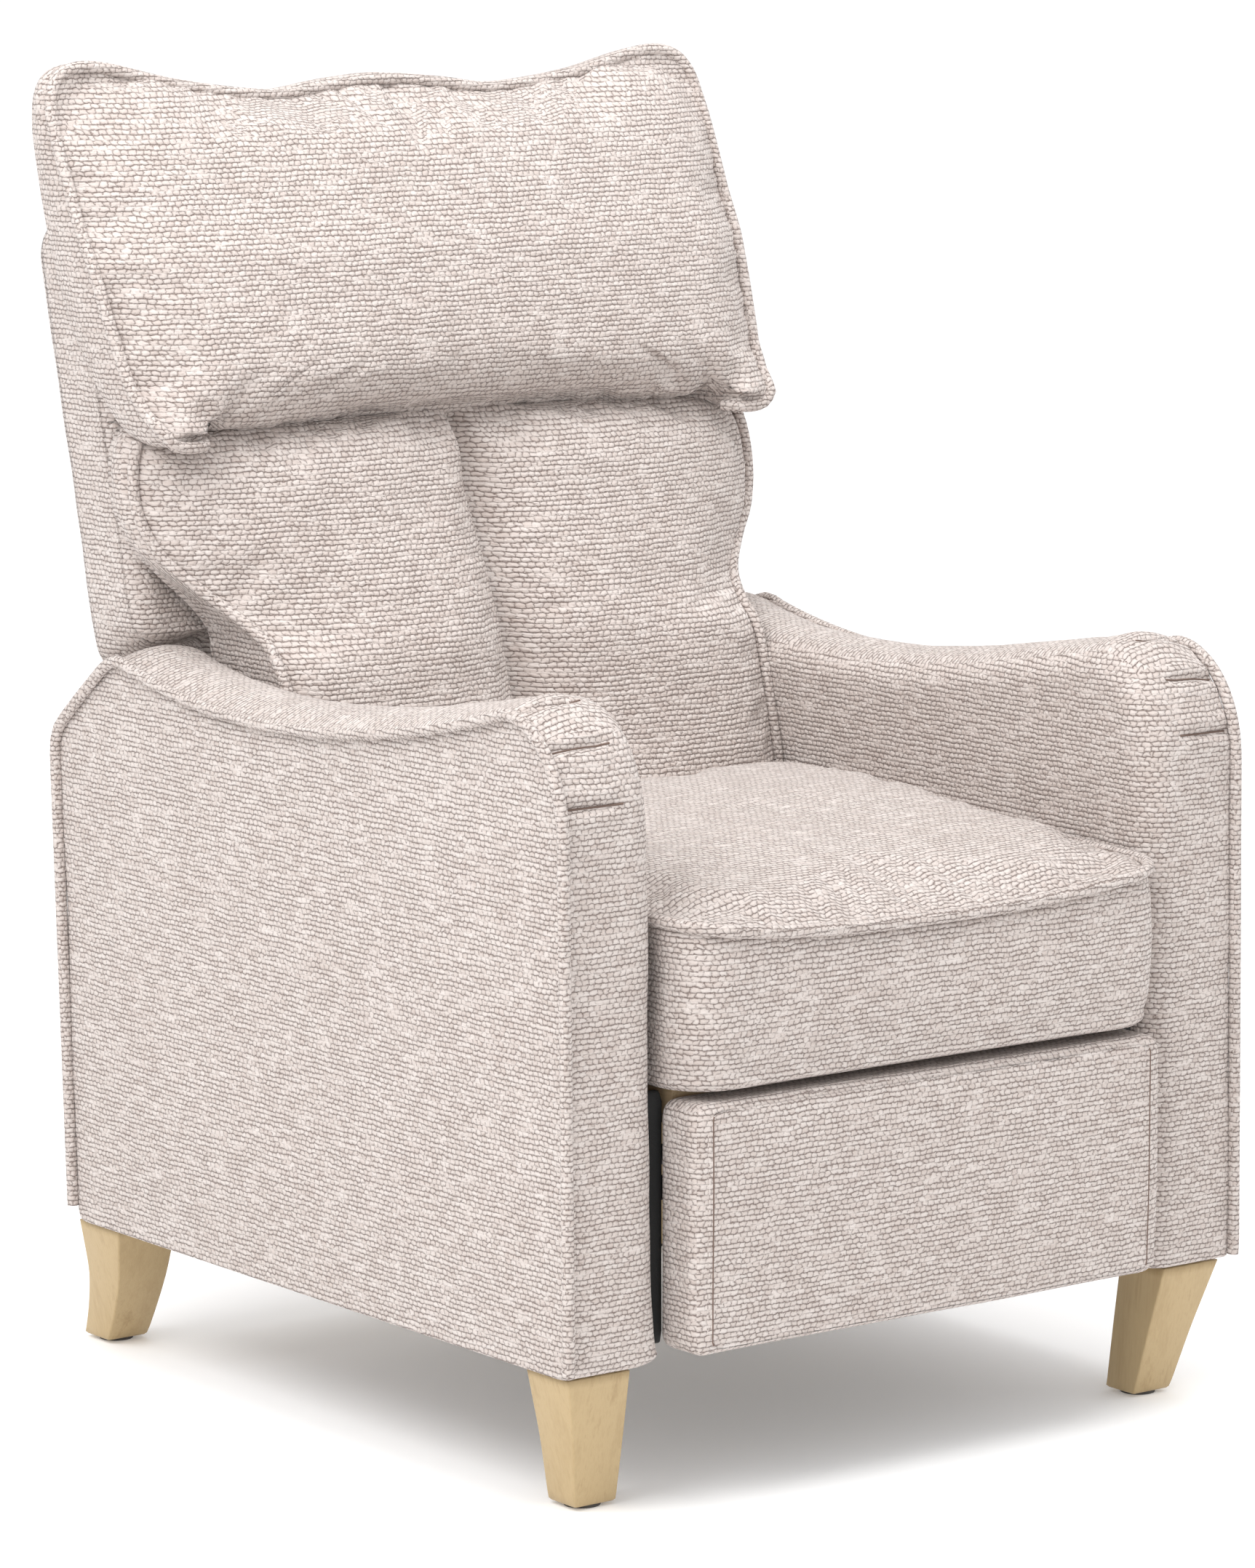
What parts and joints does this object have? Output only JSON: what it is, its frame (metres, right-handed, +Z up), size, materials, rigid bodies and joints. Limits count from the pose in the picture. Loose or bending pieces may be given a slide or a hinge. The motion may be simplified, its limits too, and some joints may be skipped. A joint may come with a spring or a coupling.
{
  "type": "recliner armchair",
  "caption": "Push-back recliner armchair with padded arms, a piped head pillow and lumbar cushion, a fold-out footrest and splayed wooden legs.",
  "frame": {"origin": "centre of the chair's bounding box, on the floor under the glides", "axes": "+Z up; the chair faces -Y; +X is on the right when looking at the chair from the front"},
  "size_m": [0.66, 0.8156, 1.05],
  "materials": {
    "fabric": "chunky basket weave in pale beige pink, heathered",
    "leg_wood": "pale ash, clear satin",
    "frame_wood": "sawn softwood, unfinished",
    "hardboard": "smooth hardboard",
    "foam": "open-cell upholstery foam",
    "glide_plastic": "moulded",
    "nylon": "natural nylon",
    "deck_cloth": "bonded deck cloth",
    "dust_cloth": "black spunbond cloth",
    "webbing": "elastic webbing",
    "zinc": "zinc plated",
    "spring_steel": "oiled spring wire",
    "black_steel": "black powder coat"
  },
  "bodies": {
    "base": {"arm_cover_left": "fabric", "arm_cover_right": "fabric", "arm_frame_left": "frame_wood", "arm_frame_right": "frame_wood", "arm_panel_left": "hardboard", "arm_panel_right": "hardboard", "front_stretcher": "frame_wood", "rear_stretcher": "frame_wood", "rear_panel": "fabric", "leg_front_left": "leg_wood", "leg_front_right": "leg_wood", "leg_rear_left": "leg_wood", "leg_rear_right": "leg_wood", "leg_bolts": "zinc", "leg_glides": "glide_plastic", "slide_channel_left": "black_steel", "slide_channel_right": "black_steel", "channel_screws": "zinc"},
    "seat": {"seat_cushion": "fabric", "seat_core": "foam", "seat_deck": "deck_cloth", "seat_front_rail": "frame_wood", "seat_rear_rail": "frame_wood", "seat_side_rail_left": "frame_wood", "seat_side_rail_right": "frame_wood", "seat_springs": "spring_steel", "dust_cover": "dust_cloth", "side_plate_left": "black_steel", "side_plate_right": "black_steel", "glide_blocks": "nylon", "lift_pins": "zinc", "recline_pins": "zinc", "plate_screws": "zinc"},
    "back": {"back_stile_left": "frame_wood", "back_stile_right": "frame_wood", "back_top_rail": "frame_wood", "back_middle_rail": "frame_wood", "back_bottom_rail": "frame_wood", "back_webbing": "webbing", "back_cover": "fabric", "lumbar_cushion": "fabric", "lumbar_core": "foam", "head_pillow": "fabric", "pillow_core": "foam", "back_bracket_left": "black_steel", "back_bracket_right": "black_steel", "bracket_screws": "zinc"},
    "front_links": {"link_front_left": "black_steel", "link_front_right": "black_steel", "link_tube": "black_steel"},
    "rear_links": {"link_rear_left": "black_steel", "link_rear_right": "black_steel"},
    "footrest_arms": {"footrest_arm_left": "black_steel", "footrest_arm_right": "black_steel", "arm_tube": "black_steel", "link_pins": "zinc"},
    "footrest": {"footrest_bracket_left": "black_steel", "footrest_bracket_right": "black_steel", "footrest_board": "frame_wood", "footrest_pad": "fabric"}
  },
  "joints": [
    {"name": "seat_glide", "type": "slide", "parent": "base", "child": "seat", "axis": [0, -1, 0], "range_m": [0, 0.04501]},
    {"name": "back_recline", "type": "hinge", "parent": "seat", "child": "back", "pos_m": [0, 0.1752, 0.33], "axis": [-1, 0, 0], "range_deg": [0, 30]},
    {"name": "footrest_lift", "type": "hinge", "parent": "seat", "child": "front_links", "pos_m": [0, -0.2898, 0.27], "axis": [-1, 0, 0], "range_deg": [0, 153.01]},
    {"name": "rear_link_lift", "type": "hinge", "parent": "seat", "child": "rear_links", "pos_m": [0, -0.2058, 0.237], "axis": [-1, 0, 0], "range_deg": [0, 153.01]},
    {"name": "arm_level", "type": "hinge", "parent": "front_links", "child": "footrest_arms", "pos_m": [0, -0.15874, 0.17823], "axis": [-1, 0, 0], "range_deg": [-153.01, 0]},
    {"name": "footrest_tilt", "type": "hinge", "parent": "footrest_arms", "child": "footrest", "pos_m": [0, -0.3458, 0.24], "axis": [-1, 0, 0], "range_deg": [0, 80.01]}
  ],
  "couplings": [
    {"joint": "seat_glide", "follows": "back_recline", "m_per_rad": 0.085944},
    {"joint": "footrest_lift", "follows": "back_recline", "ratio": 5.1},
    {"joint": "rear_link_lift", "follows": "back_recline", "ratio": 5.1},
    {"joint": "arm_level", "follows": "back_recline", "ratio": -5.1},
    {"joint": "footrest_tilt", "follows": "back_recline", "ratio": 2.6667}
  ]
}
